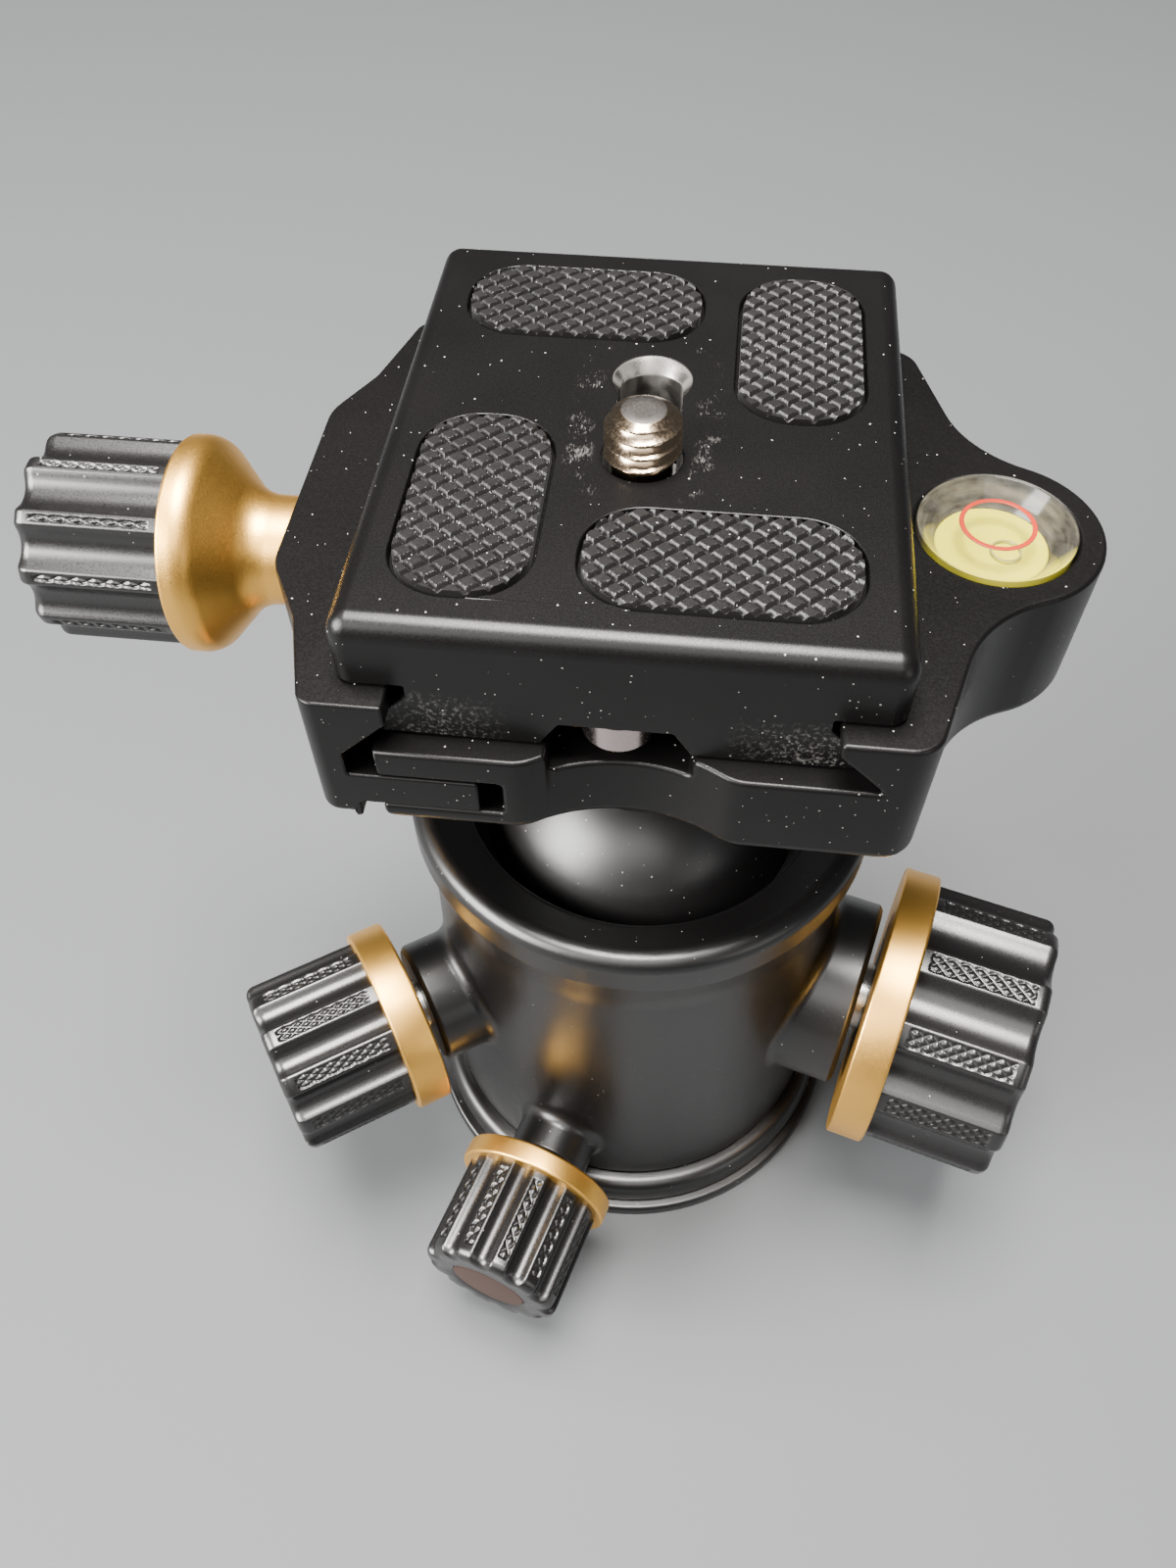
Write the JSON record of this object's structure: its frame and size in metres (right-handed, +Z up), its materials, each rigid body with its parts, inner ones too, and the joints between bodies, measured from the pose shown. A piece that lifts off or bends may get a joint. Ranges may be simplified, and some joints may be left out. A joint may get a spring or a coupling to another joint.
{
  "type": "tripod ball head",
  "caption": "Camera tripod ball head with a locking barrel, knobs with gold rings, and a dovetail clamp with a round level and a quick-release plate.",
  "frame": {"origin": "centre of the base's underside, at the mouth of the tripod socket", "axes": "+Z up along the body axis, +X towards the main lock knob, +Y away from the front, along the dovetail"},
  "size_m": [0.1055, 0.0748, 0.1062],
  "materials": {
    "black_anodised": "black anodised, satin",
    "black_blasted": "black anodised over a blasted surface",
    "gold_anodised": "gold anodised, blasted",
    "copper_disc": "copper-coloured, satin",
    "steel": "turned",
    "chrome": "polished",
    "brass": "turned",
    "polymer": "plain",
    "black_polymer": "plain",
    "pad_rubber": "moulded diamond pattern",
    "clear_acrylic": "clear, polished",
    "level_fluid": "yellow-green fluid",
    "red_print": "red line"
  },
  "bodies": {
    "base": {"base_disc": "black_anodised", "pan_glide_ring": "polymer", "spindle_glide_washer": "polymer", "spindle_keeper": "steel", "spindle_bolt": "steel"},
    "barrel": {"housing": "black_anodised", "housing_floor": "black_anodised", "upper_seat": "black_polymer"},
    "cup": {"lower_cup": "polymer"},
    "ball": {"ball": "black_blasted"},
    "main_pin": {"main_wedge_pin": "steel"},
    "main_knob": {"main_screw": "steel", "main_gold_ring": "gold_anodised", "main_grip": "black_anodised", "main_end_disc": "copper_disc"},
    "friction_pin": {"friction_pad": "polymer"},
    "friction_knob": {"friction_screw": "steel", "friction_gold_ring": "gold_anodised", "friction_grip": "black_anodised", "friction_end_disc": "copper_disc"},
    "pan_pin": {"pan_shoe": "brass"},
    "pan_knob": {"pan_screw": "steel", "pan_gold_ring": "gold_anodised", "pan_grip": "black_anodised", "pan_end_disc": "copper_disc"},
    "clamp": {"neck": "black_anodised", "clamp_base": "black_anodised", "clamp_bolt": "steel", "jaw_springs": "steel", "level_vial": "clear_acrylic", "level_liquid": "level_fluid", "level_ring": "red_print"},
    "jaw": {"movable_jaw": "black_anodised"},
    "clamp_knob": {"draw_screw": "steel", "clamp_knob_cone": "gold_anodised", "clamp_knob_grip": "black_anodised", "clamp_knob_end_disc": "copper_disc"},
    "plate": {"camera_plate": "black_blasted", "stop_pins": "chrome", "pad_front": "pad_rubber", "pad_back": "pad_rubber", "pad_left": "pad_rubber", "pad_right": "pad_rubber"},
    "screw_carrier": {"screw_washer": "steel"},
    "camera_screw": {"camera_screw": "steel"}
  },
  "joints": [
    {"name": "pan", "type": "hinge", "parent": "base", "child": "barrel", "pos_m": [0, 0, 0], "axis": [0, 0, 1], "continuous": true},
    {"name": "tilt", "type": "hinge", "parent": "barrel", "child": "ball", "pos_m": [0, 0, 0.0475], "axis": [-1, 0, 0], "range_deg": [-35, 90]},
    {"name": "spin", "type": "hinge", "parent": "ball", "child": "clamp", "pos_m": [0, 0, 0.0475], "axis": [0, 0, 1], "continuous": true},
    {"name": "cup_lift", "type": "slide", "parent": "barrel", "child": "cup", "axis": [0, 0, 1], "range_m": [0, 0.00015]},
    {"name": "main_pin_slide", "type": "slide", "parent": "barrel", "child": "main_pin", "axis": [-0.9646, 0.2639, 0], "range_m": [0, 0.001]},
    {"name": "main_knob_turn", "type": "hinge", "parent": "main_pin", "child": "main_knob", "pos_m": [0.02894, -0.00792, 0.0295], "axis": [-0.9646, 0.2639, 0], "range_deg": [0, 288]},
    {"name": "friction_pin_slide", "type": "slide", "parent": "barrel", "child": "friction_pin", "axis": [0.83, 0.5577, 0], "range_m": [0, 0.0005]},
    {"name": "friction_knob_turn", "type": "hinge", "parent": "friction_pin", "child": "friction_knob", "pos_m": [-0.0249, -0.01673, 0.0325], "axis": [0.83, 0.5577, 0], "range_deg": [0, 180]},
    {"name": "pan_pin_slide", "type": "slide", "parent": "barrel", "child": "pan_pin", "axis": [0.294, 0.9558, 0], "range_m": [0, 0.0004]},
    {"name": "pan_knob_turn", "type": "hinge", "parent": "pan_pin", "child": "pan_knob", "pos_m": [-0.00882, -0.02867, 0.015], "axis": [0.294, 0.9558, 0], "range_deg": [0, 180]},
    {"name": "jaw_slide", "type": "slide", "parent": "clamp", "child": "jaw", "axis": [-1, 0, 0], "range_m": [0, 0.006], "deforming": ["jaw_springs"]},
    {"name": "clamp_knob_turn", "type": "hinge", "parent": "jaw", "child": "clamp_knob", "pos_m": [-0.03, 0.00125, 0.0872], "axis": [-1, 0, 0], "range_deg": [0, 2700]},
    {"name": "plate_slide", "type": "slide", "parent": "clamp", "child": "plate", "axis": [0, 1, 0], "range_m": [-0.0085, 0.0025]},
    {"name": "screw_slide", "type": "slide", "parent": "plate", "child": "screw_carrier", "axis": [0, 1, 0], "range_m": [0, 0.0098]},
    {"name": "camera_screw_turn", "type": "hinge", "parent": "screw_carrier", "child": "camera_screw", "pos_m": [-0.0011, -0.0004, 0.0975], "axis": [0, 0, 1], "continuous": true}
  ],
  "couplings": [
    {"joint": "main_knob_turn", "follows": "main_pin_slide", "rad_per_m": 5026.5},
    {"joint": "friction_knob_turn", "follows": "friction_pin_slide", "rad_per_m": 6283.2},
    {"joint": "pan_knob_turn", "follows": "pan_pin_slide", "rad_per_m": 7854},
    {"joint": "cup_lift", "follows": "main_pin_slide", "ratio": 0.1499},
    {"joint": "clamp_knob_turn", "follows": "jaw_slide", "rad_per_m": 7854}
  ]
}
